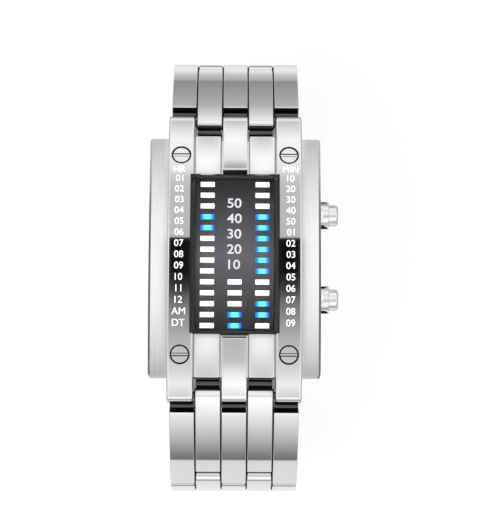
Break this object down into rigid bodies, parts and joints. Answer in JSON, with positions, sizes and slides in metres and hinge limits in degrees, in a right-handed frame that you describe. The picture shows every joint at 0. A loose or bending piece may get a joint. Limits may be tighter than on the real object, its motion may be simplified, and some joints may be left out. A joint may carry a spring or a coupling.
{
  "type": "binary led wristwatch",
  "caption": "Steel wristwatch with an arched dark display of light bars, two side push buttons, a five-row link bracelet and a folding clasp.",
  "frame": {"origin": "centre of the case back's outer face", "axes": "+Z leaves the dial, +Y points to 12 o'clock along the bracelet, +X points to 3 o'clock, towards the buttons"},
  "size_m": [0.0352, 0.0836, 0.0538],
  "materials": {
    "polished_steel": "polished",
    "brushed_steel": "brushed",
    "pin_steel": "turned",
    "smoked_glass": "clear, smoked",
    "black_rubber": "matt",
    "black_plastic": "matt",
    "light_diffuser": "translucent",
    "circuit_board": "solder mask",
    "led_package": "moulded",
    "ivory_plastic": "moulded",
    "cell_steel": "plated",
    "crystal_can": "drawn",
    "contact_brass": "sprung"
  },
  "bodies": {
    "case": {"case_body": "brushed_steel", "left_rail": "polished_steel", "right_rail": "polished_steel", "rail_screws": "polished_steel", "upper_end_plates": "polished_steel", "lower_end_plates": "polished_steel", "upper_centre_lug": "polished_steel", "lower_centre_lug": "polished_steel", "display_lens": "smoked_glass", "lens_gasket": "black_rubber", "dial_mask": "black_plastic", "hour_light_bars": "light_diffuser", "minute_light_bars": "light_diffuser", "centre_light_bars": "light_diffuser", "led_board": "circuit_board", "led_chips": "led_package", "microcontroller": "black_plastic", "quartz_crystal": "crystal_can", "button_switches": "black_plastic", "battery_holder": "ivory_plastic", "battery_cell": "cell_steel", "battery_contacts": "contact_brass", "back_gasket": "black_rubber", "case_back": "brushed_steel", "back_screws": "pin_steel", "button_tubes": "brushed_steel", "upper_button_spring": "pin_steel", "lower_button_spring": "pin_steel"},
    "upper_button": {"upper_button": "polished_steel", "upper_button_seal": "black_rubber", "upper_button_clip": "pin_steel"},
    "lower_button": {"lower_button": "polished_steel", "lower_button_seal": "black_rubber", "lower_button_clip": "pin_steel"},
    "upper_link_1": {"upper_link_1_outer_bars": "polished_steel", "upper_link_1_inner_bars": "polished_steel", "upper_link_1_pins": "pin_steel"},
    "upper_link_2": {"upper_link_2_outer_bars": "polished_steel", "upper_link_2_inner_bars": "polished_steel", "upper_link_2_pins": "pin_steel"},
    "upper_link_3": {"upper_link_3_outer_bars": "polished_steel", "upper_link_3_inner_bars": "polished_steel", "upper_link_3_pins": "pin_steel"},
    "lower_link_1": {"lower_link_1_outer_bars": "polished_steel", "lower_link_1_inner_bars": "polished_steel", "lower_link_1_pins": "pin_steel"},
    "lower_link_2": {"lower_link_2_outer_bars": "polished_steel", "lower_link_2_inner_bars": "polished_steel", "lower_link_2_pins": "pin_steel"},
    "lower_link_3": {"lower_link_3_outer_bars": "polished_steel", "lower_link_3_inner_bars": "polished_steel", "lower_link_3_pins": "pin_steel", "clasp_lower_bar": "pin_steel"},
    "clasp_end_blade": {"clasp_end_blade": "brushed_steel", "clasp_upper_bar": "pin_steel"},
    "clasp_mid_blade": {"clasp_mid_blade": "brushed_steel", "clasp_hinge_pins": "pin_steel"},
    "clasp_cover": {"clasp_cover": "brushed_steel"}
  },
  "joints": [
    {"name": "upper_link_1_hinge", "type": "hinge", "parent": "case", "child": "upper_link_1", "pos_m": [0, 0.0257, 0.00247], "axis": [1, 0, 0], "range_deg": [0, 60]},
    {"name": "upper_link_2_hinge", "type": "hinge", "parent": "upper_link_1", "child": "upper_link_2", "pos_m": [0, 0.03949, -0.01132], "axis": [1, 0, 0], "range_deg": [0, 60]},
    {"name": "upper_link_3_hinge", "type": "hinge", "parent": "upper_link_2", "child": "upper_link_3", "pos_m": [0, 0.03847, -0.03079], "axis": [1, 0, 0], "range_deg": [0, 60]},
    {"name": "lower_link_1_hinge", "type": "hinge", "parent": "case", "child": "lower_link_1", "pos_m": [0, -0.0257, 0.00247], "axis": [-1, 0, 0], "range_deg": [0, 60]},
    {"name": "lower_link_2_hinge", "type": "hinge", "parent": "lower_link_1", "child": "lower_link_2", "pos_m": [0, -0.03949, -0.01132], "axis": [-1, 0, 0], "range_deg": [0, 60]},
    {"name": "lower_link_3_hinge", "type": "hinge", "parent": "lower_link_2", "child": "lower_link_3", "pos_m": [0, -0.03847, -0.03079], "axis": [-1, 0, 0], "range_deg": [0, 60]},
    {"name": "clasp_end_hinge", "type": "hinge", "parent": "upper_link_3", "child": "clasp_end_blade", "pos_m": [0, 0.0225, -0.04197], "axis": [1, 0, 0], "range_deg": [0, 60]},
    {"name": "clasp_fold_hinge", "type": "hinge", "parent": "clasp_end_blade", "child": "clasp_mid_blade", "pos_m": [0, -0.01459, -0.04177], "axis": [-1, 0, 0], "range_deg": [0, 100]},
    {"name": "clasp_cover_hinge", "type": "hinge", "parent": "clasp_mid_blade", "child": "clasp_cover", "pos_m": [0, 0.01741, -0.04297], "axis": [1, 0, 0], "range_deg": [0, 100]},
    {"name": "upper_button_push", "type": "slide", "parent": "case", "child": "upper_button", "axis": [-1, 0, 0], "range_m": [0, 0.0008], "stiffness_N_per_m": 1500, "springref_m": -0.001, "deforming": ["upper_button_spring"]},
    {"name": "lower_button_push", "type": "slide", "parent": "case", "child": "lower_button", "axis": [-1, 0, 0], "range_m": [0, 0.0008], "stiffness_N_per_m": 1500, "springref_m": -0.001, "deforming": ["lower_button_spring"]}
  ],
  "couplings": [
    {"joint": "clasp_cover_hinge", "follows": "clasp_fold_hinge", "ratio": 1}
  ]
}
